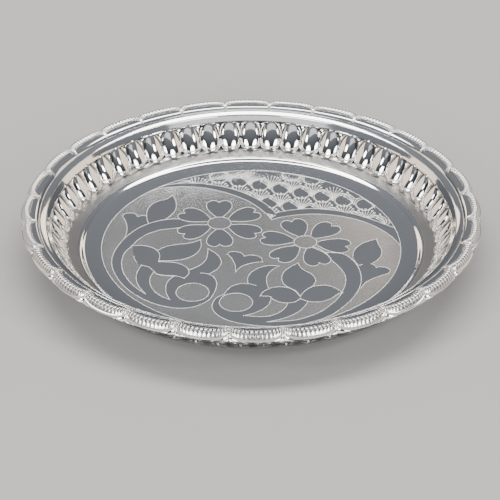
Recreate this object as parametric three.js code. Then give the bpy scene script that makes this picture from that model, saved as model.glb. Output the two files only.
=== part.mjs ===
// A round scalloped plate of silvered sheet, 30 cm across: a stepped floor, a bossed wall,
// a rolled shoulder and a wide rim that carries an arched border in four lengths.
// Millimetres, +Z up, origin at the centre of the underside.
import * as THREE from 'three';

// Driving dimensions, from the centre outwards
const centreRadius = 109.4;
const stepRun = 3.6;
const floorWidth = 8.3;
const wallRun = 9.3;
const bandRun = 2.8;
const shoulderWidth = 3.6;
const panelWidth = 6.8;
const borderWidth = 6.2;

// Driving dimensions, from the base upwards
const sheet = 0.8;
const stepRise = 4.3;
const wallRise = 18.2;
const bandRise = 2.9;
const rollRise = 0.9;
const shoulderRise = 0.6;
const panelRise = 3.7;
const borderLift = 2.3;
const borderDrop = 2.4;

// Bosses of the wall
const bossCount = 55;
const bossPhase = 4.0;
const bossProud = 3.2;
const bossWidest = 0.42;
const bossTipShare = 0.2;
const bossOverrun = 0.02;
const hollowSunk = 2.2;
const footScallop = 0.8;
const footFade = 0.06;

// Scallops of the rim
const scallopCount = 28;
const segmentCount = 4;
const archFullness = 2.6;
const tongueStart = 1.2;
const tongueLift = 1;
const crownSkew = 1.3;
const crownFullness = 0.6;
const notchDepth = 6.3;
const edgeInset = 0.35;
const edgeLobe = 1.3;
const edgeDrop = 4.7;

// Seats and clearances
const seam = 0.3;
const seatWidth = 2;
const ledgeDepth = 0.8;
const wallSeat = 1.6;

// How finely each form is cut
const ringSteps = 60;
const stepPieces = 3;
const rollPieces = 4;
const bossSteps = 6;
const archSteps = 8;
const crownShares = [0.15, 0.5, 0.85];
const wallFaceRows = [0, 0.12, 0.42, 0.78, 1];
const wallBackRows = [0.9, 0.42];

// Levels and radii that follow from the sizes above
const floorTop = sheet + stepRise;
const footRadius = centreRadius + stepRun + floorWidth;
const bossTopRadius = footRadius + wallRun;
const bossTop = floorTop + wallRise;
const bandRadius = bossTopRadius + bandRun;
const bandTop = bossTop + bandRise;
const rimRadius = bandRadius + shoulderWidth;
const rimTop = bandTop + shoulderRise;
const panelRadius = rimRadius + panelWidth;
const plateRadius = panelRadius + borderWidth;
const panelTop = rimTop + panelRise;
const floorRadius = footRadius + footScallop + wallSeat + sheet;

const silver = (name, roughness) => {
  const material = new THREE.MeshStandardMaterial({ color: 0xd9dadb, roughness, metalness: 1 });
  material.name = name;
  return material;
};

const pointAt = (radius, angle, height) =>
  new THREE.Vector3(radius * Math.cos(angle), radius * Math.sin(angle), height);

// A body from equal loops of points, one loop for each angle; a ring joins its last loop to its first.
// Each four-cornered face is cut along its shorter diagonal, so that stacked bodies are cut alike.
function sweptBody(loops, isRing, cap = []) {
  const width = loops[0].length;
  const points = loops.flat();
  const positions = points.flatMap((point) => [point.x, point.y, point.z]);
  const faces = [];
  const spans = isRing ? loops.length : loops.length - 1;
  for (let i = 0; i < spans; i += 1) {
    const here = i * width;
    const next = ((i + 1) % loops.length) * width;
    for (let k = 0; k < width; k += 1) {
      const up = (k + 1) % width;
      const [a, b, c, d] = [here + k, next + k, next + up, here + up];
      if (points[a].distanceTo(points[c]) < points[b].distanceTo(points[d])) {
        faces.push(a, b, c, a, c, d);
      } else {
        faces.push(a, b, d, b, c, d);
      }
    }
  }
  const last = (loops.length - 1) * width;
  cap.forEach(([a, b, c]) => faces.push(a, b, c, last + c, last + b, last + a));
  const geometry = new THREE.BufferGeometry();
  geometry.setAttribute('position', new THREE.Float32BufferAttribute(positions, 3));
  geometry.setIndex(faces);
  geometry.computeVertexNormals();
  return geometry;
}

// A closed section turned round the plate's own axis
function turned(section) {
  const outline = section.map(([radius, height]) => new THREE.Vector2(radius, height));
  const geometry = new THREE.LatheGeometry(outline, ringSteps);
  geometry.rotateX(Math.PI / 2);
  return geometry;
}

// The floor: flat centre, soft step, and the flat ring that the wall stands on
function centrePlate() {
  const underside = [];
  for (let i = 0; i <= stepPieces; i += 1) {
    const share = i / stepPieces;
    underside.push([centreRadius + stepRun * share, stepRise * (1 - Math.cos(Math.PI * share)) / 2]);
  }
  const topside = underside.map(([radius, height]) => [radius, height + sheet]).reverse();
  return turned([
    [0, 0],
    ...underside,
    [floorRadius, stepRise],
    [floorRadius, floorTop],
    ...topside,
    [0, sheet],
  ]);
}

// The share of half a boss's pitch that the boss fills, at a share of the wall's rise
function bossShare(rise) {
  const reach = rise < bossWidest ? bossWidest + bossOverrun : 1 - bossWidest - bossOverrun;
  const away = (rise - bossWidest) / reach;
  return Math.max(bossTipShare, Math.sqrt(Math.max(0, 1 - away * away)));
}

// Radius of the wall's inner face; across runs from 0 on a boss to 1 halfway to the next
function wallRadius(across, rise) {
  const side = Math.abs(across);
  const share = bossShare(rise);
  const lean = footRadius + wallRun * rise;
  const foot = footScallop * Math.cos(Math.PI * side) * Math.exp(-rise / footFade);
  if (side < share) {
    const reach = rise < bossWidest ? bossWidest : 1 - bossWidest;
    const swell = Math.sqrt(Math.max(0, 1 - ((rise - bossWidest) / reach) ** 2));
    return lean + foot - bossProud * swell * (1 - (side / share) ** 2);
  }
  const gap = (1 - side) / (1 - share + 1e-6);
  const depth = hollowSunk * Math.sqrt(Math.sin(Math.PI * Math.min(1, rise))) * (1 - share ** 4);
  return lean + foot + depth * Math.sqrt(Math.max(0, 1 - gap * gap));
}

// The wall: egg-shaped bosses that touch at their widest, with arched hollows between them
function galleryWall() {
  const slope = Math.hypot(wallRun, wallRise);
  const outward = sheet * wallRise / slope;
  const downward = sheet * wallRun / slope;
  const loops = [];
  for (let i = 0; i < bossCount * bossSteps; i += 1) {
    const turn = i / bossSteps;
    const across = 2 * (turn - Math.round(turn));
    const angle = THREE.MathUtils.degToRad(bossPhase) + 2 * Math.PI * turn / bossCount;
    const back = wallBackRows.map((rise) => pointAt(
      wallRadius(across, rise) + outward,
      angle,
      floorTop + wallRise * rise - downward,
    ));
    const face = wallFaceRows.map((rise) => pointAt(
      wallRadius(across, rise),
      angle,
      floorTop + wallRise * rise,
    ));
    loops.push([
      ...face.reverse(),
      pointAt(footRadius + footScallop + wallSeat, angle, floorTop),
      ...back.reverse(),
      pointAt(bandRadius + wallSeat, angle, bandTop),
      pointAt(bandRadius, angle, bandTop),
    ]);
  }
  return sweptBody(loops, true);
}

// Level of the rim's sheet: it slopes up through the panels, then turns down under the border
function rimLevel(radius) {
  if (radius < panelRadius) {
    return rimTop + panelRise * (radius - rimRadius) / panelWidth;
  }
  return panelTop - borderDrop * ((radius - panelRadius) / borderWidth) ** 3;
}

// The shoulder: a low rolled moulding that caps the wall, with a collar round it and a ledge under the rim
function shoulderRing() {
  const roll = [];
  for (let i = 1; i < rollPieces; i += 1) {
    const turn = Math.PI * i / rollPieces;
    const share = (1 - Math.cos(turn)) / 2;
    roll.push([
      bandRadius + shoulderWidth * share,
      bandTop + shoulderRise * share + rollRise * Math.sin(turn),
    ]);
  }
  const collar = bandRadius + wallSeat + seam;
  const ledgeEnd = rimRadius + seatWidth;
  const underRim = (radius) => rimLevel(radius) - sheet - seam;
  return turned([
    [bandRadius, bandTop],
    [collar, bandTop],
    [collar, underRim(rimRadius) - ledgeDepth],
    [rimRadius, underRim(rimRadius) - ledgeDepth],
    [ledgeEnd, underRim(ledgeEnd) - ledgeDepth],
    [ledgeEnd, underRim(ledgeEnd)],
    [rimRadius, underRim(rimRadius)],
    [rimRadius, rimTop],
    ...roll.reverse(),
    [bandRadius, bandTop],
  ]);
}

// One column of the rim, at a place from -1 to 1 along a scallop's arch
function rimColumn(place, middle) {
  const half = Math.PI / scallopCount;
  const power = 2 / archFullness;
  const bend = Math.PI * place / 2;
  const along = Math.sign(bend) * Math.abs(Math.sin(bend)) ** power;
  const crest = Math.max(0, Math.cos(bend)) ** power;
  const tongueTip = rimRadius + tongueStart;
  const inner = tongueTip + (panelRadius - tongueTip) * crest;
  const outer = plateRadius - notchDepth * (1 - crest);
  const edge = plateRadius - edgeInset - edgeLobe * (1 - crest);
  return { angle: middle + half * along, crest, inner, outer, edge };
}

// The columns of a run of scallops, closing the last one only where the run has ends
function rimColumns(first, count, withEnd) {
  const columns = [];
  for (let scallop = first; scallop < first + count; scallop += 1) {
    for (let i = 0; i < archSteps; i += 1) {
      columns.push(rimColumn(2 * i / archSteps - 1, 2 * Math.PI * scallop / scallopCount));
    }
  }
  if (withEnd) {
    columns.push(rimColumn(1, 2 * Math.PI * (first + count - 1) / scallopCount));
  }
  return columns;
}

// The rim: a sheet that rises in mirror panels, dips between the arches and turns down at its lobed edge
function rimFlange() {
  const start = rimRadius + seam;
  const loops = rimColumns(0, scallopCount, false).map(({ angle, inner, outer, edge }) => {
    const panelEnd = Math.max(start + seam, inner);
    const lip = outer - 2 * edgeInset * (outer - panelRadius) / borderWidth;
    const middle = (panelEnd + lip) / 2;
    const bedMiddle = (rimLevel(panelEnd) + rimLevel(outer)) / 2;
    const edgeTop = panelTop - edgeDrop;
    return [
      pointAt(start, angle, rimLevel(start) - sheet),
      pointAt(panelEnd, angle, rimLevel(panelEnd) - sheet),
      pointAt(middle, angle, bedMiddle - sheet),
      pointAt(edge - edgeInset, angle, edgeTop - sheet),
      pointAt(edge, angle, edgeTop),
      pointAt(lip, angle, rimLevel(outer)),
      pointAt(panelEnd, angle, rimLevel(panelEnd)),
      pointAt(start, angle, rimLevel(start)),
    ];
  });
  return sweptBody(loops, true);
}

// Outline of the border's section, from its bed on the rim over its crown
function borderOutline({ crest, inner, outer }) {
  const bedAt = (radius) => rimLevel(radius) + seam;
  const lift = tongueLift + (borderLift - tongueLift) * crest;
  const crown = crownShares.map((share) => [
    inner + (outer - inner) * share,
    bedAt(inner) + (bedAt(outer) - bedAt(inner)) * share
      + lift * Math.sin(Math.PI * share ** crownSkew) ** crownFullness,
  ]);
  return [
    [inner, bedAt(inner)],
    [outer, bedAt(outer)],
    ...crown.reverse(),
  ];
}

// One length of the border: a raised cushion along its arches, drawn in to a tongue between them
function borderSegment(index) {
  const count = scallopCount / segmentCount;
  const columns = rimColumns(index * count, count, true);
  const ends = { 0: seam / 2, [columns.length - 1]: -seam / 2 };
  const outlines = columns.map(borderOutline);
  const loops = outlines.map((outline, i) => outline.map(([radius, height]) =>
    pointAt(radius, columns[i].angle + (ends[i] ?? 0) / radius, height)));
  const endOutline = outlines[0].map(([radius, height]) => new THREE.Vector2(radius, height));
  return sweptBody(loops, false, THREE.ShapeUtils.triangulateShape(endOutline, []));
}

const plate = new THREE.Group();
const add = (name, geometry, roughness) => {
  const mesh = new THREE.Mesh(geometry, silver(name, roughness));
  mesh.name = name;
  plate.add(mesh);
};

add('centre_plate', centrePlate(), 0.18);
add('gallery_wall', galleryWall(), 0.08);
add('shoulder_ring', shoulderRing(), 0.08);
add('rim_flange', rimFlange(), 0.1);
for (let index = 0; index < segmentCount; index += 1) {
  add(`border_segment_${index + 1}`, borderSegment(index), 0.15);
}

export default plate;
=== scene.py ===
import math

import bmesh
import bpy
from mathutils import Matrix, Vector
from mathutils.geometry import delaunay_2d_cdt


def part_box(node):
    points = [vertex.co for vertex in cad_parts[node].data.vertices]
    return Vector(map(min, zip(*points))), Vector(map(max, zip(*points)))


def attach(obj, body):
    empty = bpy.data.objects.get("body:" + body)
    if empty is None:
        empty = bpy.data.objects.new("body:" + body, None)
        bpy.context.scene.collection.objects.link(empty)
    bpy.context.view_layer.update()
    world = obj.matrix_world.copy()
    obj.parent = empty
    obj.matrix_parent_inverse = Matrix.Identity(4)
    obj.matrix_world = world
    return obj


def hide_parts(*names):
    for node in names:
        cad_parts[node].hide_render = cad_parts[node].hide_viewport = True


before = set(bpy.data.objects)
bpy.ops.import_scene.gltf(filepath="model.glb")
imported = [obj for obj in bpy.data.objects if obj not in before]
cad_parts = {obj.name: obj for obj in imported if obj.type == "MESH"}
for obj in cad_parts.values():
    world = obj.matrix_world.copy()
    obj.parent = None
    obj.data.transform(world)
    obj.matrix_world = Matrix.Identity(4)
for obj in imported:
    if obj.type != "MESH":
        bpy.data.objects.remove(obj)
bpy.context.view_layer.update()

MM = 0.001

# Radii and widths, from the centre outwards
DISH_RADIUS = 91 * MM
FACE_RADIUS = 99.2 * MM
CENTRE_RADIUS = 109.4 * MM
STEP_RUN = 3.6 * MM
RING_START = CENTRE_RADIUS + STEP_RUN
FOOT_RADIUS = 121.3 * MM
SEAT_WIDTH = 3.2 * MM
BOSS_TOP_RADIUS = 130.6 * MM
BAND_RADIUS = 133.4 * MM
COLLAR_WIDTH = 1.9 * MM
ROLL_WIDTH = 4.7 * MM
RIM_RADIUS = 137 * MM
LEDGE_WIDTH = 2 * MM
PANEL_RADIUS = 143.8 * MM
PLATE_RADIUS = 150 * MM

# Thicknesses, and the gap under the border and the rim
SHEET = 0.8 * MM
LEDGE_EDGE = 0.7 * MM
SEAM = 0.3 * MM

# Levels, and rises from one to the next
FLOOR_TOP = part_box("centre_plate")[1].z
BAND_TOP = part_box("gallery_wall")[1].z
PANEL_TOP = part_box("rim_flange")[1].z
BAND_RISE = 2.9 * MM
BOSS_TOP = BAND_TOP - BAND_RISE
PANEL_RISE = 3.7 * MM
RIM_TOP = PANEL_TOP - PANEL_RISE
LEDGE_RISE = 1.0 * MM

# Slopes of the floor, as rise over run
MARGIN_SLOPE = 0.15
RING_SLOPE_IN = 0.12
RING_SLOPE_OUT = 0.2

# How far the buff misses the ring beside the wall, and how far painted shade darkens it
RING_DULL = 0.85
RING_SHADE = 0.75

# Repeats
BOSS_COUNT = 55
BOSS_PHASE = math.radians(4)
SCALLOP_COUNT = 28
SEGMENT_COUNT = 4

# How finely turned pieces are divided, how close points weld, and what counts as short of the last row
TURNED_COLUMNS = 360
FLOOR_ROWS = 12
WELD = 0.002 * MM
NEARLY_ONE = 0.999

# The camera, as fitted to the plate's rings in the photograph
IMAGE_WIDTH = 500
FOCAL_PIXELS = 1990.6
CAMERA_DISTANCE = 1.3139
CAMERA_ELEVATION = math.radians(31.797)
CAMERA_AZIMUTH = math.radians(-1.29)
AIM_HEIGHT = 3.9 * MM
CAMERA_PAN = math.radians(0.033)
CAMERA_TILT = math.radians(-0.254)
CAMERA_ROLL = math.radians(-0.188)

# The studio: its size, and the brightness of its surround
STUDIO_RADIUS = 1.7
FLOOR_HALF = 3
SURROUND_LEVEL = 0.18
SURROUND_OVERHEAD = 0.7
SURROUND_CURVE = 1.5
SURROUND_BEYOND = 0.14


def math_method(operation, swapped=False):
    """A method that puts a field, and what it is given, through a Math node."""
    def method(self, *others):
        values = (*others, self) if swapped else (self, *others)
        return self.math(operation, *values)
    return method


class Field:
    """A number that varies over a mesh or a surface. Arithmetic on it adds Math nodes to its tree."""

    def __init__(self, tree, socket):
        self.tree = tree
        self.socket = socket

    def math(self, operation, *values):
        node = self.tree.nodes.new("ShaderNodeMath")
        node.operation = operation
        for slot, value in zip(node.inputs, values):
            if isinstance(value, Field):
                self.tree.links.new(value.socket, slot)
            else:
                slot.default_value = value
        return Field(self.tree, node.outputs[0])

    __add__ = math_method("ADD")
    __radd__ = math_method("ADD", swapped=True)
    __sub__ = math_method("SUBTRACT")
    __rsub__ = math_method("SUBTRACT", swapped=True)
    __mul__ = math_method("MULTIPLY")
    __rmul__ = math_method("MULTIPLY", swapped=True)
    __truediv__ = math_method("DIVIDE")
    __rtruediv__ = math_method("DIVIDE", swapped=True)
    __pow__ = math_method("POWER")
    __lt__ = math_method("LESS_THAN")
    __gt__ = math_method("GREATER_THAN")
    sine = math_method("SINE")
    cosine = math_method("COSINE")
    size = math_method("ABSOLUTE")
    sign = math_method("SIGN")
    nearest = math_method("ROUND")
    exponential = math_method("EXPONENT")
    at_least = math_method("MAXIMUM")
    at_most = math_method("MINIMUM")

    def __neg__(self):
        return self * -1

    def root(self):
        return self.math("SQRT", self.at_least(0))


def choose(test, where_true, where_false):
    """One of two fields, by a test that is 1 or 0."""
    return where_false + test * (where_true - where_false)


def hump(field, middle, reach, steepness):
    """1 round a middle, down to 0 at a reach to either side of it."""
    return (steepness - steepness * ((field - middle) / reach).size()).at_least(0).at_most(1)


class Tree:
    """A Geometry Nodes tree with named inputs for its sizes, and the plain meshes that it makes."""

    def __init__(self, name, **sizes):
        self.tree = bpy.data.node_groups.new(name, "GeometryNodeTree")
        self.sockets = {}
        self.tree.interface.new_socket("Path", in_out="INPUT", socket_type="NodeSocketGeometry")
        for size, value in sizes.items():
            kind = "NodeSocketInt" if isinstance(value, int) else "NodeSocketFloat"
            label = size.replace("_", " ").capitalize()
            socket = self.tree.interface.new_socket(label, in_out="INPUT", socket_type=kind)
            self.sockets[size] = (socket.identifier, value)
        self.tree.interface.new_socket("Mesh", in_out="OUTPUT", socket_type="NodeSocketGeometry")
        inlet = self.node("NodeGroupInput")
        self.path = inlet.outputs["Path"]
        for socket, size in zip(inlet.outputs[1:], sizes):
            setattr(self, size, Field(self.tree, socket))

    def node(self, kind, **settings):
        node = self.tree.nodes.new(kind)
        for setting, value in settings.items():
            setattr(node, setting, value)
        return node

    def link(self, source, socket):
        self.tree.links.new(getattr(source, "socket", source), socket)

    def vector(self, x, y, z):
        """A vector socket from three fields."""
        node = self.node("ShaderNodeCombineXYZ")
        for field, socket in zip((x, y, z), node.inputs):
            self.link(field, socket)
        return node.outputs[0]

    def end(self, mesh, material):
        """Ends the tree: real geometry, with its material."""
        realize = self.node("GeometryNodeRealizeInstances")
        paint = self.node("GeometryNodeSetMaterial")
        paint.inputs["Material"].default_value = material
        self.link(mesh, realize.inputs[0])
        self.link(realize.outputs[0], paint.inputs[0])
        self.link(paint.outputs[0], self.node("NodeGroupOutput").inputs[0])

    def make(self, name, path=None, **changes):
        """A plain mesh object from the tree, along a path, with any of its sizes changed."""
        piece = add_object(name, path or bpy.data.meshes.new(name))
        modifier = piece.modifiers.new("maker", "NODES")
        modifier.node_group = self.tree
        for size, (identifier, value) in self.sockets.items():
            modifier[identifier] = changes.get(size, value)
        apply_modifiers(piece)
        return piece


class RingTree(Tree):
    """A tree that bends a grid round the plate's axis. around and inward run from 0 to 1."""

    def __init__(self, name, **sizes):
        super().__init__(name, **sizes)
        self.grid = self.node("GeometryNodeMeshGrid")
        self.link(self.columns + 1, self.grid.inputs["Vertices X"])
        self.link(self.rows + 1, self.grid.inputs["Vertices Y"])
        place = self.node("ShaderNodeSeparateXYZ")
        self.link(self.node("GeometryNodeInputPosition").outputs[0], place.inputs[0])
        self.around = Field(self.tree, place.outputs["X"]) + 0.5
        self.inward = Field(self.tree, place.outputs["Y"]) + 0.5

    def finish(self, radius, angle, height, material, **marks):
        """Sets each point's place, stores marks on the points, closes the seam, and ends the tree."""
        mesh = self.grid.outputs[0]
        for name, field in marks.items():
            mark = self.node("GeometryNodeStoreNamedAttribute", data_type="FLOAT", domain="POINT")
            mark.inputs["Name"].default_value = name
            self.link(mesh, mark.inputs["Geometry"])
            self.link(field, mark.inputs["Value"])
            mesh = mark.outputs[0]
        bend = self.node("GeometryNodeSetPosition")
        merge = self.node("GeometryNodeMergeByDistance")
        smooth = self.node("GeometryNodeSetShadeSmooth")
        place = self.vector(radius * angle.cosine(), radius * angle.sine(), height)
        merge.inputs["Distance"].default_value = WELD
        self.link(mesh, bend.inputs[0])
        self.link(place, bend.inputs["Position"])
        self.link(bend.outputs[0], merge.inputs[0])
        self.link(merge.outputs[0], smooth.inputs[0])
        self.end(smooth.outputs[0], material)


def add_object(name, data):
    """A new object, linked into the scene."""
    piece = bpy.data.objects.new(name, data)
    bpy.context.scene.collection.objects.link(piece)
    return piece


def apply_modifiers(piece):
    """Turns what the modifiers show into the piece's plain mesh."""
    graph = bpy.context.evaluated_depsgraph_get()
    mesh = bpy.data.meshes.new_from_object(piece.evaluated_get(graph))
    piece.modifiers.clear()
    if mesh.materials and not mesh.materials[0]:
        mesh.materials.pop(index=0)
    piece.data = mesh


def thicken(piece, thickness, back):
    """Gives a sheet its thickness, and the back material, dull and painted dark as shade, on the side
    that its faces turn away from.
    """
    piece.data.materials.append(back)
    modifier = piece.modifiers.new("thickness", "SOLIDIFY")
    modifier.thickness = thickness
    modifier.offset = -1
    modifier.material_offset = 1
    apply_modifiers(piece)


def smooth_below(piece, angle):
    """Smooth shading that breaks at edges sharper than an angle in degrees."""
    piece.data.shade_smooth()
    piece.data.set_sharp_from_angle(angle=math.radians(angle))


def keep(piece, slot, *nodes):
    """Makes a finished piece part of the plate and lets it stand for CAD nodes."""
    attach(piece, "root")
    if nodes:
        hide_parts(*nodes)


def new_material(name, colour):
    """A new material with a plain colour, with its node tree and its shader."""
    material = bpy.data.materials.new(name)
    material.use_nodes = True
    shader = material.node_tree.nodes["Principled BSDF"]
    shader.inputs["Base Color"].default_value = (*colour, 1)
    return material, material.node_tree, shader


def new_silver(name, colour, blotch, detail, low, high):
    """A metal whose roughness runs from low to high in soft blotches."""
    material, tree, shader = new_material(name, colour)
    shader.inputs["Metallic"].default_value = 1
    roughness = spread(tree, noise(tree, blotch, detail), low, high)
    tree.links.new(roughness, shader.inputs["Roughness"])
    return material, tree, shader


def noise(tree, size, detail):
    """Noise on Object coordinates whose blotches are about size across."""
    place = tree.nodes.new("ShaderNodeTexCoord")
    texture = tree.nodes.new("ShaderNodeTexNoise")
    texture.inputs["Scale"].default_value = 1 / size
    texture.inputs["Detail"].default_value = detail
    tree.links.new(place.outputs["Object"], texture.inputs["Vector"])
    return texture.outputs["Fac"]


def spread(tree, factor, low, high):
    """A factor from 0 to 1 stretched to run from low to high."""
    node = tree.nodes.new("ShaderNodeMapRange")
    node.inputs["To Min"].default_value = low
    node.inputs["To Max"].default_value = high
    tree.links.new(factor, node.inputs["Value"])
    return node.outputs[0]


def bump(tree, height, distance, strength, shader):
    """Bump from a height factor, in metres of depth."""
    node = tree.nodes.new("ShaderNodeBump")
    node.inputs["Strength"].default_value = strength
    node.inputs["Distance"].default_value = distance
    tree.links.new(height, node.inputs["Height"])
    tree.links.new(node.outputs[0], shader.inputs["Normal"])


def marked(tree, mark, strength):
    """A factor up to strength, by a mark that the piece carries on its points."""
    node = tree.nodes.new("ShaderNodeAttribute")
    node.attribute_name = mark
    return spread(tree, node.outputs["Fac"], 0, strength)


def paint_shade(tree, shader, dark, strength):
    """Painted shade: darkens the metal's colour towards a dark tone wherever the piece's shade mark
    lies.
    """
    mix = tree.nodes.new("ShaderNodeMix")
    mix.data_type = "RGBA"
    mix.inputs["A"].default_value = shader.inputs["Base Color"].default_value
    mix.inputs["B"].default_value = (*dark, 1)
    tree.links.new(marked(tree, "recess", strength), mix.inputs["Factor"])
    tree.links.new(mix.outputs["Result"], shader.inputs["Base Color"])


def roughen(tree, shader, strength):
    """Roughens the metal by the piece's dull mark, where the buff doesn't reach."""
    roughness = shader.inputs["Roughness"]
    haze = Field(tree, roughness.links[0].from_socket)
    total = haze + Field(tree, marked(tree, "dull", strength))
    tree.links.new(total.socket, roughness)


def polished_silver():
    """Buffed silver plate: a mirror with faint haze, a slow waviness, and painted shade that darkens
    its creases.
    """
    material, tree, shader = new_silver("polished_silver", (0.95, 0.945, 0.935), 14 * MM, 6, 0.03, 0.1)
    roughen(tree, shader, 0.3)
    bump(tree, noise(tree, 5 * MM, 3), 0.02 * MM, 0.4, shader)
    # Painted shade: a near-black colour laid in by the piece's shade mark
    paint_shade(tree, shader, (0.1, 0.09, 0.08), 0.95)
    return material


def border_silver():
    """The border's silver: softer than the mirror, with painted shade darkening the grooves between the
    ribs.
    """
    material, tree, shader = new_silver("border_silver", (0.96, 0.955, 0.94), 4 * MM, 4, 0.2, 0.3)
    bump(tree, noise(tree, 1.5 * MM, 3), 0.02 * MM, 0.5, shader)
    # Painted shade: dark grey laid into the rib grooves
    paint_shade(tree, shader, (0.16, 0.16, 0.16), 0.85)
    return material


def shaded_back_silver():
    """The unpolished back of the sheet: dull, and its colour painted dark as the shade it lies in."""
    material, tree, shader = new_silver("shaded_back_silver", (0.36, 0.355, 0.35), 8 * MM, 6, 0.35, 0.5)
    bump(tree, noise(tree, 1.2 * MM, 4), 0.03 * MM, 0.6, shader)
    return material


def frosted_silver():
    """Ground left by fine hatching: soft and pale beside the mirror."""
    material, tree, shader = new_silver("frosted_silver", (0.76, 0.755, 0.75), 5 * MM, 5, 0.23, 0.27)
    bump(tree, noise(tree, 0.4 * MM, 2), 0.003 * MM, 0.2, shader)
    return material


def cut_silver():
    """The bare faces of the graver's cuts."""
    return new_silver("cut_silver", (0.98, 0.975, 0.96), 2 * MM, 3, 0.5, 0.62)[0]


def aim_camera():
    """The photograph's camera: a long lens that looks down at the plate from -Y."""
    camera = add_object("camera", bpy.data.cameras.new("camera"))
    camera.data.lens = camera.data.sensor_width * FOCAL_PIXELS / IMAGE_WIDTH
    camera.data.clip_start = 0.05
    camera.data.clip_end = 50
    swing = Matrix.Rotation(CAMERA_AZIMUTH, 4, "Z")
    back = Vector((0, -math.cos(CAMERA_ELEVATION), math.sin(CAMERA_ELEVATION)))
    turns = [(math.pi / 2 - CAMERA_ELEVATION, "X"), (CAMERA_PAN, "Y"), (CAMERA_TILT, "X")]
    look = Matrix.Identity(4)
    for angle, axis in turns + [(-CAMERA_ROLL, "Z")]:
        look = look @ Matrix.Rotation(angle, 4, axis)
    place = swing @ (back * CAMERA_DISTANCE) + Vector((0, 0, AIM_HEIGHT))
    camera.matrix_world = Matrix.Translation(place) @ swing @ look
    bpy.context.scene.camera = camera


def lay_floor():
    """The pale matt floor that the plate stands on."""
    mesh = bpy.data.meshes.new("studio_floor")
    half = FLOOR_HALF
    corners = [(-half, -half, 0), (half, -half, 0), (half, half, 0), (-half, half, 0)]
    mesh.from_pydata(corners, [], [(0, 1, 2, 3)])
    floor = add_object("studio_floor", mesh)
    material, _, shader = new_material("pale_floor", (0.46, 0.455, 0.445))
    shader.inputs["Roughness"].default_value = 0.9
    mesh.materials.append(material)


def surround():
    """A soft grey surround, brighter overhead and a little brighter beyond the plate."""
    world = bpy.data.worlds.new("studio")
    world.use_nodes = True
    tree = world.node_tree
    way = tree.nodes.new("ShaderNodeTexCoord")
    parts = tree.nodes.new("ShaderNodeSeparateXYZ")
    tree.links.new(way.outputs["Generated"], parts.inputs[0])
    up = Field(tree, parts.outputs["Z"])
    beyond = Field(tree, parts.outputs["Y"])
    strength = SURROUND_OVERHEAD * up ** SURROUND_CURVE + SURROUND_BEYOND * beyond + SURROUND_LEVEL
    tree.links.new(strength.socket, tree.nodes["Background"].inputs["Strength"])
    tree.nodes["Background"].inputs["Color"].default_value = (0.34, 0.365, 0.4, 1)
    bpy.context.scene.world = world


def hang_lights():
    """Large soft lights: their bearing, elevation, size, brightness and colour."""
    white = (1, 0.99, 0.97)
    cream = (1, 0.83, 0.66)
    add_softbox("top_strip", 0, 70, (2.4, 0.55), 9, white)
    add_softbox("far_left_card", -19, 22.5, (0.5, 0.34), 2.5, cream)
    add_softbox("far_right_card", 16, 22.5, (0.5, 0.34), 2.5, cream)
    add_softbox("near_top_card", 180, 63, (2.2, 0.55), 0.8, white)
    add_softbox("near_left_lamp", -147, 14, (0.92, 0.75), 9, white, "ELLIPSE")
    add_softbox("near_right_lamp", 147, 14, (0.92, 0.75), 9, white, "ELLIPSE")
    add_softbox("upper_left_lamp", -116, 36, (0.34, 0.34), 12, white, "ELLIPSE")
    add_softbox("upper_right_lamp", 116, 36, (0.34, 0.34), 12, white, "ELLIPSE")
    add_softbox("left_card", -74, 20, (1.5, 0.9), 1.5, cream)
    add_softbox("right_card", 74, 20, (1.5, 0.9), 1.5, cream)


def add_softbox(name, bearing, elevation, size, brightness, colour, shape="RECTANGLE"):
    """A soft light that faces the plate. Bearing 0 is beyond the plate, 90 on the right."""
    turn, rise = math.radians(bearing), math.radians(elevation)
    level = math.cos(rise)
    way = Vector((level * math.sin(turn), level * math.cos(turn), math.sin(rise)))
    lamp = bpy.data.lights.new(name, "AREA")
    lamp.shape = shape
    lamp.size, lamp.size_y = size
    lamp.color = colour
    lamp.energy = brightness * math.pi * size[0] * size[1]
    light = add_object(name, lamp)
    light.location = way * STUDIO_RADIUS
    light.rotation_euler = (-way).to_track_quat("-Z", "Y").to_euler()


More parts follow.
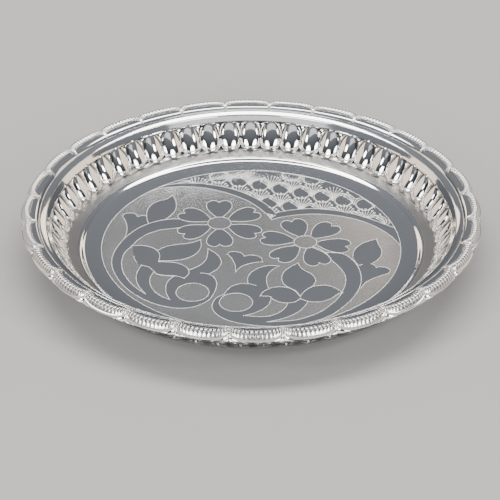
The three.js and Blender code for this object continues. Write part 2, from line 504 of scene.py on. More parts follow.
def make_wall(material, back):
    """The bossed wall: egg-shaped bosses that touch at their widest, arched hollows between them,
    and the plain band that they run out into."""
    tree = RingTree(
        "bossed_wall",
        columns=BOSS_COUNT * 24,
        rows=36,
        band_rows=3,
        foot_radius=FOOT_RADIUS,
        top_radius=BOSS_TOP_RADIUS,
        band_radius=BAND_RADIUS,
        foot_level=FLOOR_TOP,
        top_level=BOSS_TOP,
        band_level=BAND_TOP,
        boss_count=BOSS_COUNT,
        boss_phase=BOSS_PHASE,
        boss_proud=3.2 * MM,
        boss_widest=0.4,
        boss_fullness_low=2.8,
        boss_fullness_high=1.6,
        boss_tip_share=0.12,
        boss_tip_softness=1.5,
        boss_width_limit=0.985,
        boss_roundness=0.85,
        boss_columns_share=2 / 3,
        hollow_sunk=2.2 * MM,
        hollow_middle=0.62,
        hollow_foot=0.04,
        hollow_top=0.97,
        hollow_squareness=4.0,
        foot_scallop=0.5 * MM,
        foot_fade=0.05,
        # Sizes of the painted shade: dark lines along the creases, dark caps at the tops of the
        # hollows, dark patches near their feet
        crease_sharpness=10.0,
        crease_width=3.0,
        crease_growth=1.4,
        cap_height=0.045,
        cap_steepness=2.0,
        cap_spread=1.5,
        foot_shade_middle=0.15,
        foot_shade_steepness=1.5,
        foot_shade_strength=0.75,
        dull_reach=0.12,
    )
    turn = tree.around * tree.boss_count
    nearest = turn.nearest()
    offset = 2 * (turn - nearest)
    step = offset.size()

    band_share = tree.band_rows / tree.rows
    band = (1 - tree.inward / band_share).at_least(0)
    rise = (1 - (tree.inward - band_share) / (1 - band_share)).at_most(1)
    rise = (1 - (rise * math.pi).cosine()) / 2

    low = rise < tree.boss_widest
    reach = choose(low, tree.boss_widest, 1 - tree.boss_widest)
    away = (rise - tree.boss_widest) / reach
    fullness = choose(low, tree.boss_fullness_low, tree.boss_fullness_high)
    swell = (1 - away.size() ** fullness).root()
    share = swell.at_least(tree.boss_tip_share).at_most(tree.boss_width_limit)
    on_boss = step < tree.boss_columns_share
    boss_side = step / tree.boss_columns_share
    gap_side = (step - tree.boss_columns_share) / (1 - tree.boss_columns_share)
    side = choose(on_boss, share * boss_side, share + (1 - share) * gap_side)

    flat = (1 - tree.boss_roundness).root()
    dome = ((1 - tree.boss_roundness * boss_side * boss_side).root() - flat) / (1 - flat)
    trough = (1 - (1 - gap_side) ** 2).root() * (1 - share ** tree.hollow_squareness)
    below = ((tree.hollow_middle - rise) / (tree.hollow_middle - tree.hollow_foot)).at_most(1)
    above = ((rise - tree.hollow_middle) / (tree.hollow_top - tree.hollow_middle)).at_most(1)
    fade_in = (1 + (below * math.pi).cosine()) / 2
    hollow = trough * choose(below > 0, fade_in, (1 - above ** tree.hollow_squareness).root())
    full = choose(low, swell, swell ** tree.boss_tip_softness)
    relief = choose(on_boss, -tree.boss_proud * full * dome, tree.hollow_sunk * hollow)
    # Painted shade: darkening along the creases round each boss, dark caps under the tops of the
    # hollows and dark patches near their feet, gathered into one mark
    crease = choose(on_boss, boss_side ** tree.crease_sharpness, (1 - gap_side) ** tree.crease_width)
    crease = crease * (rise * tree.crease_growth).at_most(1) * (1 - band) * (rise < NEARLY_ONE)
    cap = hump(rise, tree.hollow_top - tree.cap_height, tree.cap_height, tree.cap_steepness)
    cap = cap * (trough * tree.cap_spread).at_most(1)
    foot_shade = hump(rise, tree.foot_shade_middle, tree.foot_shade_middle, tree.foot_shade_steepness) * tree.foot_shade_strength
    recess = crease.at_least((1 - on_boss) * cap.at_least(foot_shade)).at_least(0).at_most(1)
    foot = tree.foot_scallop * (side * math.pi).cosine() * (-rise / tree.foot_fade).exponential()
    radius = tree.foot_radius + (tree.top_radius - tree.foot_radius) * rise + relief + foot
    radius = radius + (tree.band_radius - tree.top_radius) * band
    height = tree.foot_level + (tree.top_level - tree.foot_level) * rise
    height = height + (tree.band_level - tree.top_level) * band
    angle = tree.boss_phase + (nearest + offset.sign() * side / 2) * (2 * math.pi) / tree.boss_count
    dull = (1 - rise / tree.dull_reach).at_least(0)
    tree.finish(radius, angle, height, material, recess=recess, dull=dull)

    piece = tree.make("gallery_wall_bossed")
    thicken(piece, SHEET, back)
    smooth_below(piece, 65)
    keep(piece, "polished_silver", "gallery_wall")


def turned_ring(name, section, material, closed=True):
    """A section of (radius, height) points turned round the plate's axis."""
    mesh = bpy.data.meshes.new(name)
    points = []
    faces = []
    count = len(section)
    for i in range(TURNED_COLUMNS):
        angle = 2 * math.pi * i / TURNED_COLUMNS
        points += [(r * math.cos(angle), r * math.sin(angle), z) for r, z in section]
        here, after = i * count, (i + 1) % TURNED_COLUMNS * count
        for k in range(count if closed else count - 1):
            up = (k + 1) % count
            faces.append((here + k, after + k, after + up, here + up))
    mesh.from_pydata(points, [], faces)
    mesh.materials.append(material)
    return add_object(name, mesh)


def make_shoulder(material):
    """The rolled moulding that caps the wall, with a collar round it and a ledge under the rim."""
    # The roll's crown, as shares of its width and rises in millimetres
    crown = [(0.01, 0.3), (0.05, 0.52), (0.2, 0.86), (0.4, 1.27), (0.6, 1.63)]
    crown += [(0.8, 1.94), (0.92, 2.08), (0.98, 1.95), (1, 1.55)]
    roll = [(BAND_RADIUS + ROLL_WIDTH * across, BAND_TOP + rise * MM) for across, rise in crown]
    collar = BAND_RADIUS + COLLAR_WIDTH
    ledge = RIM_TOP - SHEET - SEAM
    ledge_end = RIM_RADIUS + LEDGE_WIDTH
    section = [
        (BAND_RADIUS, BAND_TOP),
        (collar, BAND_TOP),
        (collar, ledge - SHEET),
        (RIM_RADIUS, ledge - SHEET),
        (ledge_end, ledge + LEDGE_RISE - LEDGE_EDGE),
        (ledge_end, ledge + LEDGE_RISE),
        (RIM_RADIUS, ledge),
        (RIM_RADIUS, RIM_TOP),
        *reversed(roll),
    ]
    piece = turned_ring("shoulder_ring_rolled", section, material)
    smooth_below(piece, 40)
    keep(piece, "polished_silver", "shoulder_ring")


def rim_level(tree, radius):
    """Level of the rim's sheet: up through the panels, then down under the border."""
    panel = (radius - tree.rim_radius) / (tree.panel_radius - tree.rim_radius)
    border = (radius - tree.panel_radius) / (tree.plate_radius - tree.panel_radius)
    ease = (1 - panel / tree.panel_ease).at_least(0) ** tree.panel_pillow
    share = (1 - tree.panel_lean) * (1 - ease) + tree.panel_lean * panel
    rising = tree.rim_top + (tree.panel_top - tree.rim_top) * share
    falling = tree.panel_top - tree.border_drop * border.at_least(0) ** tree.border_curve
    return choose(radius < tree.panel_radius, rising, falling)


def rim_arch(tree, turn):
    """For each column: its scallop, its place in it, how high its arch stands, and the arch's edges."""
    scallop = turn.nearest()
    place = 2 * (turn - scallop)
    bend = place.size() ** tree.column_crowding * (math.pi / 2)
    along = place.sign() * bend.sine() ** (2 / tree.arch_fullness)
    crest = bend.cosine().at_least(0) ** (2 / tree.arch_fullness)
    inner = tree.tongue_radius + (tree.panel_radius - tree.tongue_radius) * crest
    outer = tree.plate_radius - tree.notch_depth * (1 - crest)
    return scallop, place, along, crest, inner, outer


RIM_SIZES = dict(
    scallop_count=SCALLOP_COUNT,
    column_crowding=1.3,
    arch_fullness=2.6,
    rim_radius=RIM_RADIUS,
    tongue_radius=RIM_RADIUS + 1.2 * MM,
    panel_radius=PANEL_RADIUS,
    plate_radius=PLATE_RADIUS,
    notch_depth=6.3 * MM,
    rim_top=RIM_TOP,
    panel_top=PANEL_TOP,
    border_drop=2.4 * MM,
    border_curve=3.0,
    panel_ease=0.5,
    panel_pillow=1.6,
    panel_lean=0.3,
)


def make_flange(material, back):
    """The rim's sheet: mirror panels that rise to the arches, a bed under the border, and coves between
    the arches that run down to the lobed edge."""
    tree = RingTree(
        "panelled_rim",
        columns=SCALLOP_COUNT * 36,
        rows=24,
        lip_share=0.4,
        bed_share=0.12,
        edge_inset=0.35 * MM,
        edge_lobe=1.3 * MM,
        edge_drop=4.0 * MM,
        **RIM_SIZES,
    )
    turn = tree.around * tree.scallop_count
    scallop, place, along, crest, inner, outer = rim_arch(tree, turn)
    edge = tree.plate_radius - tree.edge_inset - tree.edge_lobe * (1 - crest)
    edge_level = tree.panel_top - tree.edge_drop
    lip = (tree.inward / tree.lip_share).at_most(1) * (math.pi / 2)
    bed = ((tree.inward - tree.lip_share) / tree.bed_share).at_least(0).at_most(1)
    panel_share = 1 - tree.lip_share - tree.bed_share
    panel = ((tree.inward - tree.lip_share - tree.bed_share) / panel_share).at_least(0)
    lip_radius = outer + (edge - outer) * (1 - lip.sine())
    lip_level = edge_level + (rim_level(tree, outer) - edge_level) * (1 - lip.cosine())
    sheet_radius = outer + (inner - outer) * bed + (tree.rim_radius - inner) * panel
    bed_level = rim_level(tree, outer) + (rim_level(tree, inner) - rim_level(tree, outer)) * bed
    sheet_level = choose(panel > 0, rim_level(tree, sheet_radius), bed_level)
    on_lip = tree.inward < tree.lip_share
    radius = choose(on_lip, lip_radius, sheet_radius)
    height = choose(on_lip, lip_level, sheet_level)
    angle = (scallop + along / 2) * (2 * math.pi) / tree.scallop_count
    tree.finish(radius, angle, height, material)
    piece = tree.make("rim_flange_panelled")
    thicken(piece, SHEET, back)
    smooth_below(piece, 35)
    keep(piece, "polished_silver", "rim_flange")


def make_border(material):
    """The arched border in its four lengths: a cushion cut across by fine ribs, drawn in to tongues."""
    scallops = SCALLOP_COUNT // SEGMENT_COUNT
    ribs = 17
    rib_columns = 8
    tree = RingTree(
        "ribbed_border",
        columns=scallops * ribs * rib_columns,
        rows=17,
        scallops=scallops,
        first_scallop=0,
        ribs=ribs,
        rib_depth=0.55 * MM,
        rib_reach=2.2,
        rib_shade=1.5,
        bed_gap=SEAM,
        crest_lift=2.6 * MM,
        end_curl=1.8 * MM,
        curl_tightness=5.0,
        tongue_lift=1.0 * MM,
        tongue_width=0.06,
        crown_skew=1.3,
        crown_fullness=0.6,
        **RIM_SIZES,
    )
    turn = tree.first_scallop - 0.5 + tree.around * tree.scallops
    scallop, place, along, crest, inner, outer = rim_arch(tree, turn)
    on_crown = tree.inward < NEARLY_ONE
    share = 1 - on_crown * tree.inward * tree.rows / (tree.rows - 1)
    bulge = (math.pi * share.at_most(1).at_least(0) ** tree.crown_skew).sine().at_least(0)
    bulge = bulge ** tree.crown_fullness
    lift = tree.tongue_lift + (tree.crest_lift - tree.tongue_lift) * crest
    ribbed = (crest * tree.rib_reach).at_most(1)
    groove = ribbed * (1 - (place * tree.ribs * (math.pi / 2)).cosine().size())
    radius = inner + (outer - inner) * share
    inner_level = rim_level(tree, inner)
    height = inner_level + (rim_level(tree, outer) - inner_level) * share + tree.bed_gap
    height = height + (lift - tree.rib_depth * groove) * bulge
    height = height - tree.end_curl * crest * share ** tree.curl_tightness
    narrow = 1 - tree.tongue_width * (1 - crest) * (1 - share)
    angle = (scallop + along * narrow / 2) * (2 * math.pi) / tree.scallop_count
    # Painted shade in the grooves between the ribs, strongest where they cut deepest on the cushion
    recess = (groove * bulge * tree.rib_shade).at_most(1)
    tree.finish(radius, angle, height, material, recess=recess)
    for index in range(SEGMENT_COUNT):
        name = f"border_segment_{index + 1}"
        piece = tree.make(name + "_ribbed", first_scallop=index * scallops)
        close_ends(piece)
        smooth_below(piece, 50)
        keep(piece, "border_silver", name)


def close_ends(piece):
    """Caps the open ends of a swept body."""
    body = bmesh.new()
    body.from_mesh(piece.data)
    bmesh.ops.holes_fill(body, edges=[edge for edge in body.edges if edge.is_boundary])
    body.to_mesh(piece.data)
    body.free()


# The engraved design, in millimetres. An outline is a list of strokes, each a smooth curve through its
# own points. Strokes meet at corners. A stroke in hidden() lies under another shape and isn't cut.
def hidden(*points):
    """A stroke that closes an outline and gets no bright cuts."""
    return tuple(points)


def chained(*strokes):
    """An outline. Each stroke starts where the one before it ends, and leaves that point out."""
    return [type(stroke)([last[-1], *stroke]) for last, stroke in zip((strokes[-1], *strokes), strokes)]


def arc(x, y, radius, start, end, count=24):
    """Points on an arc, from one angle in degrees to another."""
    turns = [math.radians(start + (end - start) * i / count) for i in range(count + 1)]
    return [(x + radius * math.cos(turn), y + radius * math.sin(turn)) for turn in turns]


FIELD_RADIUS = 98.7

# The frosted field below the double heart line, the ribbon along it, and the scale ground above
HEART_LEFT = [(-68, 71.5), (-60, 75.6), (-50, 77.4), (-40, 77.2), (-30, 75.2), (-20, 71), (-10, 64.8),
              (-2, 58.2), (5, 50), (10.5, 41), (14.5, 32.3)]
HEART_RIGHT = [(14.5, 32.3), (20, 35), (27, 37.3), (35, 38.8), (44, 39.2), (54, 38.1), (64, 35.2),
               (73, 30.8), (81, 25), (88, 17.5), (93.5, 9.5), (98.6, -2)]
RIBBON_LEFT = [(-62, 76.7), (-55, 80.4), (-46, 82.3), (-36, 82), (-26, 80), (-16, 76.2), (-6, 70.2),
               (3, 62.5), (10, 54.5), (15, 46.5), (17.5, 41)]
RIBBON_RIGHT = [(17.5, 41), (24, 43.6), (32, 45.6), (41, 46.4), (50, 45.6), (60, 43.2), (69, 39.6),
                (78, 34.4), (86, 28.6), (96.6, 20)]
GROUND = [HEART_LEFT, HEART_RIGHT, hidden(*arc(0, 0, FIELD_RADIUS, -1.2, -226.4, 90))]
RIBBON = [RIBBON_LEFT, RIBBON_RIGHT, hidden((96.6, 20), (98.6, -2)), hidden((98.6, -2), (-62, 76.7))]

# Left side: the vine with its scroll, two islands of ground in it, and its leaves and buds
LEFT_VINE = chained(
    [(-50, 34.5), (-58, 33.3), (-66, 30), (-74, 24), (-81, 15), (-87, 3), (-90.6, -9), (-91.3, -21),
     (-88.6, -34), (-82.5, -48), (-73, -60.5), (-61, -69.7), (-48, -74.2), (-37, -72.4), (-28.5, -65.5),
     (-24.5, -56), (-23, -46), (-25, -38.5), (-28.5, -34.8), (-33, -33.5)],
    hidden((-60, -20), (-78.5, 1)),
    [(-74.5, 8.5), (-68.5, 15.3), (-60, 20.3), (-50, 22.4), (-42, 23.5)],
    hidden((-42, 32.8)),
)
LEFT_ISLAND = chained(
    [(-83.5, -9), (-84.8, -20), (-83.4, -31.5), (-79.2, -42.5), (-74, -51), (-68.5, -57.3)],
    [(-72.7, -49), (-74.7, -41), (-74.5, -32.5), (-72, -24)],
    [(-75.2, -19.5), (-77, -14), (-76.2, -8), (-77.3, -4), (-79.5, -1)],
)
LEFT_INNER_ISLAND = chained(
    [(-65.7, -38), (-65.7, -46), (-63, -54), (-58.5, -60), (-53, -64.2)],
    [(-55.2, -56.5), (-55.6, -49), (-54, -42), (-50.5, -36.8)],
    [(-57, -36.2), (-61, -34.6), (-63.5, -31.5)],
)
LEFT_BUD = chained(
    [(-84.3, 42), (-80.5, 42.8), (-77.3, 41.2), (-76, 38)],
    [(-72.5, 39.2), (-69, 37.8), (-66.5, 34.4), (-66.3, 30)],
    hidden((-80, 10), (-85, 6)),
    [(-83, 15), (-82.7, 24), (-84, 32), (-86.5, 39)],
)
LEFT_LEAF = chained(
    [(-51, 60.5), (-50, 53), (-50.6, 46), (-53, 40), (-57, 34)],
    hidden((-68.5, 28)),
    [(-69.7, 36), (-69.9, 43), (-68.8, 49.5), (-66, 55), (-61.3, 59), (-56.3, 61.2), (-53, 66.5)],
)
LEFT_TREFOIL_TOP = chained(
    [(-57, -1.2), (-50, 1.6), (-43, 2.9), (-37.5, 4.7), (-33.5, 7.4)],
    [(-33, 0.5), (-34.3, -6), (-37.7, -11.7), (-43, -15.8), (-50, -18), (-60.5, -18.4)],
    hidden((-61.5, -5.5)),
)
LEFT_TREFOIL_SIDE = chained(
    [(-72, 0.9), (-65.8, -1.5), (-61.7, -6), (-60.2, -12), (-60.7, -18.8)],
    hidden((-72.5, -23.5), (-77, -12), (-79, 0.5)),
)
LEFT_TREFOIL_FOOT = chained(
    [(-54, -19.8), (-48.3, -21.2), (-43.8, -24.8), (-41, -30), (-41.3, -35), (-44, -39.6)],
    [(-47, -37.6), (-50.5, -36.4), (-57, -35.8), (-61.5, -34), (-64.3, -29.8), (-67, -25.7),
     (-72, -23.5)],
    hidden((-60.5, -19.3)),
)
LEFT_CURLED_LEAF = chained(
    [(-24, -9), (-21, -14.5), (-19.9, -20.8), (-21.5, -27), (-25, -32), (-28.2, -34.8)],
    hidden((-36, -34), (-41.2, -29.6)),
    [(-36.5, -26.5), (-32.8, -22.7), (-30, -17.5), (-28.9, -11), (-28.5, -3.8)],
)

# Middle: a bud and a curled leaf over the lower scroll
MIDDLE_BUD = chained(
    [(-13.8, -8), (-9.7, -7.8), (-6.4, -9.8), (-4.6, -13.4)],
    [(-1, -12.1), (3.4, -13), (6.6, -16.4), (6.8, -20.6)],
    [(2, -21.4), (-3, -23.3), (-7.3, -26.5), (-10.8, -32.5)],
    [(-10.9, -25), (-12.3, -18.5), (-14, -14), (-16, -10.5)],
)
MIDDLE_LEAF = chained(
    [(11, -25.2), (4.6, -27.8), (-0.6, -33), (-3.1, -40), (-3, -47)],
    hidden((5, -58), (10, -51.5)),
    [(9, -44), (9.7, -37), (12.6, -31), (17.5, -25.8)],
)

# Right side: the vine that leaves the lower scroll, with its trefoil, leaf and bud
RIGHT_VINE = chained(
    [(-3, -46.6), (-8.6, -46.7), (-13.6, -49.6), (-17, -55), (-18.6, -59)],
    [(-22.7, -62), (-25.6, -68), (-26, -74.3), (-23.8, -80.5), (-19.3, -86), (-13, -90), (-5, -93),
     (4, -95), (15, -95.5), (27, -94), (38, -90.3), (48, -84), (56, -75), (62.5, -65.5), (67, -56),
     (69.6, -46), (70, -36), (68.6, -26.5), (65.2, -18), (60.3, -11.8), (55, -10.3), (46, -9.5)],
    hidden((41, -3)),
    [(46, -6.5), (50, -13), (52.5, -20), (56.8, -28), (59.8, -37.5), (59.6, -47), (57.2, -56),
     (54, -64), (49, -71.5), (42.5, -79), (34, -85), (24, -89), (8.5, -90.4)],
    [(17, -87.4), (25, -82.4), (31, -75.5), (34.5, -68)],
    hidden((28, -66), (22, -69)),
    [(19, -76.3), (13.7, -81.8), (6, -84.6), (-6.3, -83.2)],
    [(1, -80), (6.4, -75.6), (10, -69.8), (11.6, -62.5)],
    hidden((8, -54), (2, -48.6)),
)
RIGHT_TREFOIL_SIDE = chained(
    [(6.3, -56.6), (10.9, -52.2), (16.8, -50.5), (23, -52), (27, -56), (29.4, -61)],
    hidden((29.6, -64.5)),
    [(27, -67.6), (22.3, -69.4), (17, -68.5), (13, -65.6), (10.3, -61.6), (4.6, -61)],
)
RIGHT_TREFOIL_FAR_SIDE = chained(
    [(33.6, -54.9), (39, -50.5), (46, -49.2), (52.2, -52), (57, -58)],
    [(53.6, -60), (49.5, -64.6), (44, -67.9), (38, -68.5), (33, -66.8), (30.2, -64.5)],
    hidden((30.2, -61)),
)
RIGHT_TREFOIL_MIDDLE = chained(
    [(31.7, -28), (34.4, -32), (38, -35.4), (40.3, -41), (40.2, -46.2), (37.3, -51), (33.3, -55.2),
     (30, -61.5)],
    [(27.3, -55.6), (22.4, -51), (19.5, -45.8), (18.9, -39.5), (20.6, -32.8), (25, -27), (30, -22.5)],
)
RIGHT_LEAF = chained(
    [(84.2, 0), (85.7, -7), (84.9, -14.4), (81.8, -20), (78, -24.3)],
    hidden((69, -25)),
    [(66.7, -19), (66.5, -13), (68.2, -6.4), (72, -0.6), (77, 3.4), (83.5, 6.5)],
)
RIGHT_BUD = chained(
    [(72.5, -24.4), (77, -24), (79.8, -25.8), (80.6, -28.6)],
    [(84, -27.8), (88, -29.5), (89.6, -32.8), (88, -36)],
    [(82.6, -38.7), (77, -42.2), (72.4, -46.8), (69, -53)],
    hidden((66, -40), (69, -27)),
)


def turned(stroke, centre, angle, mirrored=False):
    """A stroke drawn along +x, turned to an angle in degrees and moved to a centre."""
    turn = Matrix.Rotation(math.radians(angle), 2)
    points = [turn @ Vector((x, -y if mirrored else y)) + Vector(centre) for x, y in stroke]
    return [tuple(point) for point in (reversed(points) if mirrored else points)]


def petal(centre, angle):
    """A heart-shaped petal with its point at the flower's middle."""
    side = [(27.2, 0), (29.6, 2.4), (29.4, 5.5), (26.5, 8.2), (21, 8.6), (15, 6.6), (8.6, 2.6)]
    return [
        turned(side, centre, angle),
        hidden(*turned([(8.6, 2.6), (8.6, -2.6)], centre, angle)),
        turned(side, centre, angle, mirrored=True),
    ]


def flower(centre, first_angle, disc_radius):
    """Six petals round a frosted disc."""
    shapes = [("polished", petal(centre, first_angle + 60 * i)) for i in range(6)]
    return shapes + [("frosted", [arc(*centre, disc_radius, 0, 360)])]


# The scale ground: rows of egg-shaped mirrors in frosted eggs, with a fan of stamens between
SCALE_FIRST = Vector((22, 74))
SCALE_PITCH = Vector((14.2, -5.5))
SCALE_ROW = Vector((1.2, 21.2))
SCALE_LEAN = Vector((0.1, 1))
SCALE_BLUNTNESS = 0.15
SCALE_SIZE = (6.9, 8.7)
MIRROR_SIZE = (5.7, 7.4)
LOWEST_SCALE = 12
SPRAY_SHIFT = Vector((-0.6, -3))
FAN_RADIUS = 8
FAN_ANGLES = (120, 48)
STAMEN_LENGTH = 17.5
STAMEN_SHORTENING = 0.35
STAMEN_ANGLE = 84
STAMEN_SPACING = 8.5
STAMEN_BEND = 0.03

# How far inside the field's circle these stay
SCALE_GAP = 1
OUTLINE_GAP = 0.6
STAMEN_GAP = 1.5


def scale_places():
    """The middles of the scales, in rows that lie half a pitch apart."""
    for row in range(-3, 3):
        for column in range(-6, 8):
            place = SCALE_FIRST + SCALE_PITCH * (column + row % 2 / 2) + SCALE_ROW * row
            if place.length < FIELD_RADIUS - SCALE_GAP and place.y > LOWEST_SCALE:
                yield place


def kept_inside(stroke):
    """A stroke whose points are drawn in to the field's circle where they pass it."""
    limit = FIELD_RADIUS - OUTLINE_GAP
    return [tuple(Vector(point) * min(1, limit / Vector(point).length)) for point in stroke]


def egg(place, width, height):
    """An egg-shaped outline, its blunt end away from the flowers."""
    lean = SCALE_LEAN.normalized()
    side = Vector((lean.y, -lean.x))
    points = []
    for up, across in arc(0, 0, 1, 0, 360):
        across *= width * (1 + SCALE_BLUNTNESS * up)
        points.append(place + side * across + lean * height * up)
    return [kept_inside(points)]


def spray_base(place):
    """Where the spray beside a scale starts."""
    return place + SCALE_PITCH / 2 + SPRAY_SHIFT


def heading(angle):
    """A unit vector at an angle in radians."""
    return Vector((math.cos(angle), math.sin(angle)))


def stamens():
    """Strokes of every spray, which fan out from between two scales. The outer ones are shorter."""
    strokes = []
    for place in scale_places():
        base = spray_base(place)
        for i in range(-4, 5):
            angle = math.radians(STAMEN_ANGLE - STAMEN_SPACING * i)
            reach = STAMEN_LENGTH - STAMEN_SHORTENING * i * i
            tip = base + reach * heading(angle)
            middle = base + reach / 2 * heading(angle + STAMEN_BEND * i)
            if tip.length < FIELD_RADIUS - STAMEN_GAP:
                strokes.append([tuple(base), tuple(middle), tuple(tip)])
    return strokes


def design():
    """The engraved shapes, from the lowest layer up, as (finish, outline)."""
    shapes = []
    for place in scale_places():
        base = spray_base(place)
        fan = [tuple(base), *arc(*base, FAN_RADIUS, *FAN_ANGLES), tuple(base)]
        shapes.append(("frosted", [kept_inside(fan)]))
    for place in scale_places():
        shapes.append(("frosted", egg(place, *SCALE_SIZE)))
        shapes.append(("polished", egg(place - SCALE_LEAN, *MIRROR_SIZE)))
    shapes += [("polished", RIBBON), ("frosted", GROUND)]
    lower = [LEFT_BUD, LEFT_LEAF, LEFT_CURLED_LEAF, MIDDLE_BUD, RIGHT_BUD, RIGHT_LEAF, LEFT_VINE]
    upper = [LEFT_TREFOIL_TOP, LEFT_TREFOIL_SIDE, LEFT_TREFOIL_FOOT, MIDDLE_LEAF, RIGHT_VINE,
             RIGHT_TREFOIL_SIDE, RIGHT_TREFOIL_FAR_SIDE, RIGHT_TREFOIL_MIDDLE]
    shapes += [("polished", outline) for outline in lower]
    shapes += [("frosted", LEFT_ISLAND), ("frosted", LEFT_INNER_ISLAND)]
    shapes += [("polished", outline) for outline in upper]
    shapes += [("frosted", [arc(*middle, 10.5, 0, 360)]) for middle in ((-38.5, -56), (-11, -68))]
    return shapes + flower((-20.7, 28.5), 30, 7.8) + flower((36, 3.5), 47, 7.6)


def along(stroke, spacing=1.2):
    """Points on the smooth curve through a stroke's own points, its last one left out."""
    points = [Vector(point) for point in stroke]
    points = [2 * points[0] - points[1], *points, 2 * points[-1] - points[-2]]
    curve = []
    for a, b, c, d in zip(points, points[1:], points[2:], points[3:]):
        steps = max(1, round((c - b).length / spacing))
        for i in range(steps):
            t = i / steps
            bend = 2 * a - 5 * b + 4 * c - d + t * (3 * b - a - 3 * c + d)
            curve.append(b + t * (c - a + t * bend) / 2)
    return curve


def area(loop):
    """Twice a loop's area, above zero where it runs counter-clockwise."""
    return sum(a.cross(b) for a, b in zip(loop, loop[1:] + loop[:1]))


def closed_loop(outline):
    """An outline's points in order, counter-clockwise."""
    loop = [point for stroke in outline for point in along(stroke)]
    return loop if area(loop) > 0 else loop[::-1]


def covers(loop, point):
    """Whether a point lies inside a loop."""
    inside = False
    for a, b in zip(loop, loop[1:] + loop[:1]):
        if (a.y > point.y) != (b.y > point.y):
            if point.x < a.x + (b.x - a.x) * (point.y - a.y) / (b.y - a.y):
                inside = not inside
    return inside


def seen_runs(stroke, covering):
    """The stretches of a stroke that no covering loop hides."""
    boxes = []
    for loop in covering:
        xs = [point.x for point in loop]
        ys = [point.y for point in loop]
        boxes.append((min(xs), max(xs), min(ys), max(ys), loop))
    run = []
    for point in along(stroke) + [Vector(stroke[-1])]:
        near = [box[4] for box in boxes if box[0] < point.x < box[1] and box[2] < point.y < box[3]]
        if any(covers(loop, point) for loop in near):
            yield run
            run = []
        else:
            run.append(point)
    yield run


def face_level(x, y):
    """Level of the floor's top: flat, then rising softly to its margin."""
    over = max(0, math.hypot(x, y) - DISH_RADIUS)
    return SHEET + MARGIN_SLOPE * over * over / 2 / (CENTRE_RADIUS - DISH_RADIUS)


def on_face(point):
    """A design point in millimetres, set on the floor."""
    x, y = point.x * MM, point.y * MM
    return (x, y, face_level(x, y))


def path_mesh(name, runs):
    """A mesh of bare points along runs of design points, with an edge between neighbours."""
    mesh = bpy.data.meshes.new(name)
    points = []
    edges = []
    for run in runs:
        edges += [(len(points) + i, len(points) + i + 1) for i in range(len(run) - 1)]
        points += [on_face(point) for point in run]
    mesh.from_pydata(points, edges, [])
    return mesh


def set_bodies(tree, points, size, detail, material):
    """Ends a tree with a rounded body on every point. Returns the node that places them."""
    body = tree.node("GeometryNodeMeshIcoSphere")
    place = tree.node("GeometryNodeInstanceOnPoints")
    body.inputs["Radius"].default_value = 0.5
    body.inputs["Subdivisions"].default_value = detail
    tree.link(points, place.inputs["Points"])
    tree.link(body.outputs["Mesh"], place.inputs["Instance"])
    tree.link(tree.vector(*size), place.inputs["Scale"])
    tree.end(place.outputs[0], material)
    return place


def bright_cuts(material):
    """A tree that sets a row of pointed cuts along a path."""
    tree = Tree(
        "bright_cuts",
        spacing=1.2 * MM,
        cut_length=1.3 * MM,
        cut_width=0.55 * MM,
        cut_height=0.3 * MM,
    )
    lines = tree.node("GeometryNodeMeshToCurve")
    rows = tree.node("GeometryNodeCurveToPoints", mode="LENGTH")
    turn = tree.node("FunctionNodeAlignRotationToVector", axis="X", pivot_axis="Z")
    tree.link(tree.path, lines.inputs["Mesh"])
    tree.link(lines.outputs[0], rows.inputs["Curve"])
    tree.link(tree.spacing, rows.inputs["Length"])
    tree.link(rows.outputs["Tangent"], turn.inputs["Vector"])
    size = (tree.cut_length, tree.cut_width, tree.cut_height)
    place = set_bodies(tree, rows.outputs["Points"], size, 1, material)
    tree.link(turn.outputs[0], place.inputs["Rotation"])
    return tree


def anther_dots(material):
    """A tree that sets a flat round dot on every point of a path."""
    tree = Tree("anther_dots", dot_width=1.7 * MM, dot_height=0.24 * MM)
    set_bodies(tree, tree.path, (tree.dot_width, tree.dot_width, tree.dot_height), 2, material)
    return tree


def engrave(shapes, polished, frosted):
    """The plate's flat centre as a mesh, cut along every outline and finished shape by shape."""
    rim = [Vector(point) for point in arc(0, 0, FACE_RADIUS / MM, 0, 360, 360)[:-1]]
    loops = [rim] + [closed_loop(outline) for finish, outline in shapes]
    points = [point for loop in loops for point in loop]
    numbers = []
    for loop in loops:
        first = numbers[-1][-1] + 1 if numbers else 0
        numbers.append(list(range(first, first + len(loop))))
    places, edges, faces, _, _, sources = delaunay_2d_cdt(points, [], numbers, 0, 0.001)
    mesh = bpy.data.meshes.new("engraved_face")
    mesh.from_pydata([on_face(place) for place in places], [], faces)
    mesh.materials.append(polished)
    mesh.materials.append(frosted)
    for face, source in zip(mesh.polygons, sources):
        top = max(source, default=0)
        face.material_index = int(top > 0 and shapes[top - 1][0] == "frosted")
    return mesh


def set_face_normals(mesh):
    """Exact normals on the floor's top face, so that its long triangles mirror evenly."""
    normals = [Vector()] * len(mesh.loops)
    for face in mesh.polygons:
        if len(face.vertices) == 3 and face.normal.z > 0.5:
            for loop, vertex in zip(face.loop_indices, face.vertices):
                x, y, _ = mesh.vertices[vertex].co
                radius = max(math.hypot(x, y), MM)
                over = max(0, radius - DISH_RADIUS)
                slope = MARGIN_SLOPE * over / (CENTRE_RADIUS - DISH_RADIUS) / radius
                normals[loop] = Vector((-slope * x, -slope * y, 1)).normalized()
    mesh.normals_split_custom_set(normals)


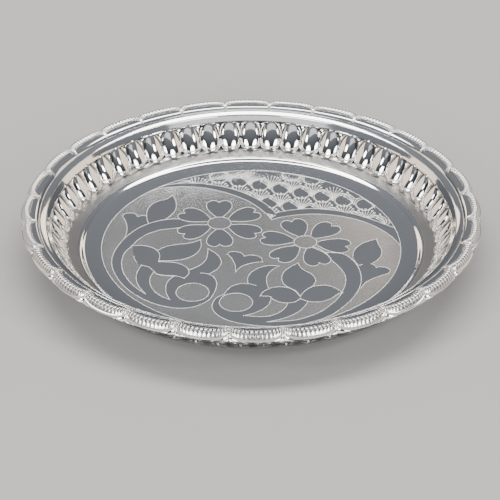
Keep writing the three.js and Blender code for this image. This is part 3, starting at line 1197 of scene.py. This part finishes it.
def floor_section():
    """The floor's section beyond the engraved face: out along the underside, back along the top."""
    margin = CENTRE_RADIUS - FACE_RADIUS
    ring = FOOT_RADIUS - RING_START
    low = face_level(CENTRE_RADIUS, 0)
    high = FLOOR_TOP - ring * (RING_SLOPE_IN + RING_SLOPE_OUT) / 2
    over = []
    for i in range(FLOOR_ROWS):
        radius = FACE_RADIUS + margin * i / FLOOR_ROWS
        over.append((radius, face_level(radius, 0)))
    for i in range(FLOOR_ROWS + 1):
        share = i / FLOOR_ROWS
        soft = (1 - math.cos(math.pi * share)) / 2
        slant = STEP_RUN * (MARGIN_SLOPE + RING_SLOPE_IN) / 2 * (share - soft)
        over.append((CENTRE_RADIUS + STEP_RUN * share, low + (high - low) * soft + slant))
    for i in range(1, FLOOR_ROWS + 1):
        share = i / FLOOR_ROWS
        slope = RING_SLOPE_IN + (RING_SLOPE_OUT - RING_SLOPE_IN) * share / 2
        over.append((RING_START + ring * share, high + ring * share * slope))
    # The underside stays flat under the face and follows the top from a third of the margin on
    under = []
    for radius, height in over:
        follow = min(1, 3 * (radius - FACE_RADIUS) / margin)
        under.append((radius, (height - SHEET) * follow))
    over.reverse()
    rim = FOOT_RADIUS + SEAT_WIDTH
    return [*under, (rim, FLOOR_TOP - SHEET), (rim, FLOOR_TOP), *over]


def make_floor(shapes, polished, frosted):
    """The floor: engraved centre, soft step, and the ring that slopes up to the wall."""
    mesh = engrave(shapes, polished, frosted)
    piece = turned_ring("centre_plate_engraved", floor_section(), polished, closed=False)
    body = bmesh.new()
    body.from_mesh(piece.data)
    hole = [edge for edge in body.edges if edge.is_boundary and edge.verts[0].co.z < SHEET / 2]
    bmesh.ops.holes_fill(body, edges=hole)
    body.from_mesh(mesh)
    bmesh.ops.remove_doubles(body, verts=body.verts, dist=WELD)
    bmesh.ops.recalc_face_normals(body, faces=body.faces)
    body.to_mesh(piece.data)
    body.free()
    piece.data.materials.append(frosted)
    smooth_below(piece, 40)
    set_face_normals(piece.data)
    # The ring beside the wall: rougher, and its colour painted darker as shade, to the mirror floor's
    # tone
    for name, strength in (("dull", RING_DULL), ("recess", RING_SHADE)):
        marks = piece.data.attributes.new(name, "FLOAT", "POINT")
        for vertex, mark in zip(piece.data.vertices, marks.data):
            mark.value = strength * min(1, max(0, (vertex.co.xy.length - RING_START) / MM))
    keep(piece, "engraved_silver", "centre_plate")


def cut_outlines(shapes, cut):
    """The bright cuts along every outline that shows, and the stamens with their anthers."""
    loops = [closed_loop(outline) for finish, outline in shapes]
    runs = [[Vector(point) for point in arc(0, 0, FIELD_RADIUS, 0, 360, 360)]]
    for i, (finish, outline) in enumerate(shapes):
        for stroke in outline:
            if isinstance(stroke, list):
                runs += seen_runs(stroke, loops[i + 1:])
    sprays = []
    anthers = []
    over_scales = [closed_loop(outline) for outline in (RIBBON, GROUND)]
    for stroke in stamens():
        seen = list(seen_runs(stroke, over_scales))
        sprays += seen
        if seen[-1]:
            anthers.append([Vector(stroke[-1])])
    outlines = bright_cuts(cut).make("centre_plate_bright_cuts", path_mesh("cuts", runs))
    keep(outlines, "engraved_silver")
    spray = bright_cuts(cut).make(
        "centre_plate_stamens",
        path_mesh("stamens", sprays),
        spacing=0.8 * MM,
        cut_length=1.6 * MM,
    )
    keep(spray, "engraved_silver")
    dots = anther_dots(cut).make("centre_plate_anthers", path_mesh("anthers", anthers))
    keep(dots, "engraved_silver")


polished = polished_silver()
aim_camera()
lay_floor()
surround()
hang_lights()
back = shaded_back_silver()
make_wall(polished, back)
make_shoulder(polished)
make_flange(polished, back)
make_border(border_silver())
engraving = design()
make_floor(engraving, polished, frosted_silver())
cut_outlines(engraving, cut_silver())
